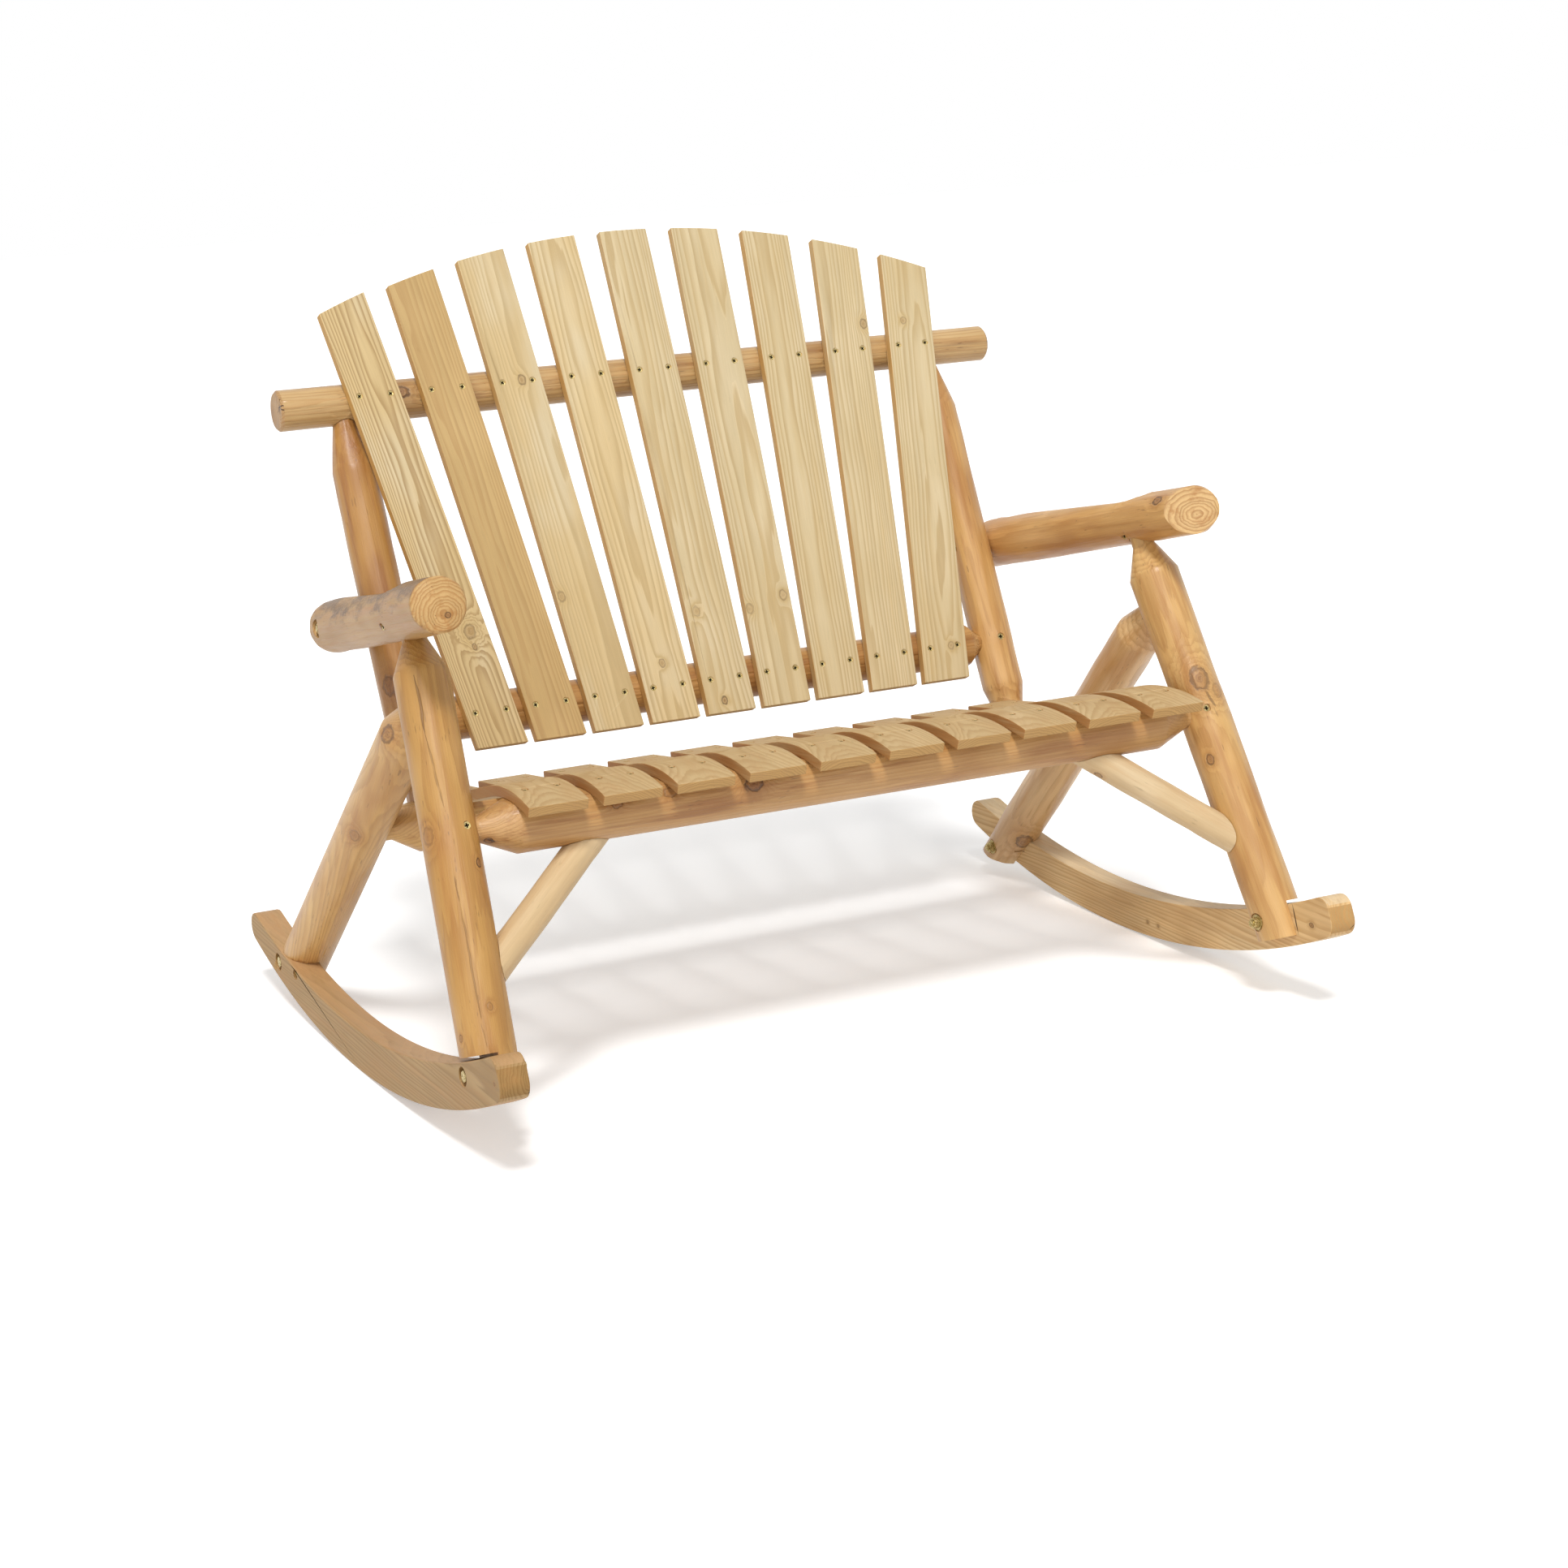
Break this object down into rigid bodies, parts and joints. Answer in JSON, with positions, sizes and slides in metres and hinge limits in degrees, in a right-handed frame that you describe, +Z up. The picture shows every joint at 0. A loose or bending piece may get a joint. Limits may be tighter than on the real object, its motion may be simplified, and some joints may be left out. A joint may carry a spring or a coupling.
{
  "type": "rocking bench",
  "caption": "Rocking bench of peeled logs: slatted seat with a rolled front, fanned and arched slat back, log arms, bowed rockers.",
  "frame": {"origin": "middle of the footprint on the floor, between the two rockers; at rest they touch the floor 52 mm behind it", "axes": "+X to the sitter's left (the viewer's right, seen from the front), +Y to the back, +Z up; the front faces -Y"},
  "size_m": [1.143, 0.9213, 0.9717],
  "materials": {
    "log_wood": "satin",
    "slat_wood": "matte",
    "rocker_wood": "matte",
    "brace_wood": "satin",
    "zinc_steel": "yellow zinc plated"
  },
  "bodies": {
    "root": {"rocker_left": "rocker_wood", "rocker_right": "rocker_wood", "front_post_left": "log_wood", "front_post_right": "log_wood", "rear_leg_left": "log_wood", "rear_leg_right": "log_wood", "arm_left": "log_wood", "arm_right": "log_wood", "back_post_left": "log_wood", "back_post_right": "log_wood", "brace_left": "brace_wood", "brace_right": "brace_wood", "front_seat_rail": "log_wood", "rear_seat_rail": "log_wood", "upper_back_rail": "log_wood", "lower_back_rail": "log_wood", "back_slat_1": "slat_wood", "back_slat_2": "slat_wood", "back_slat_3": "slat_wood", "back_slat_4": "slat_wood", "back_slat_5": "slat_wood", "back_slat_6": "slat_wood", "back_slat_7": "slat_wood", "back_slat_8": "slat_wood", "back_slat_9": "slat_wood", "seat_slat_1": "slat_wood", "seat_slat_2": "slat_wood", "seat_slat_3": "slat_wood", "seat_slat_4": "slat_wood", "seat_slat_5": "slat_wood", "seat_slat_6": "slat_wood", "seat_slat_7": "slat_wood", "seat_slat_8": "slat_wood", "seat_slat_9": "slat_wood", "seat_slat_10": "slat_wood", "rocker_bolts": "zinc_steel", "rocker_washers": "zinc_steel", "rocker_nuts": "zinc_steel", "arm_bolts": "zinc_steel", "arm_washers": "zinc_steel", "arm_nuts": "zinc_steel", "upper_back_slat_screws": "zinc_steel", "lower_back_slat_screws": "zinc_steel", "front_seat_slat_screws": "zinc_steel", "rear_seat_slat_screws": "zinc_steel", "rail_lock_screws": "zinc_steel", "arm_screws": "zinc_steel", "brace_screws": "zinc_steel", "rocker_screws": "zinc_steel", "back_post_screws": "zinc_steel"}
  },
  "joints": []
}
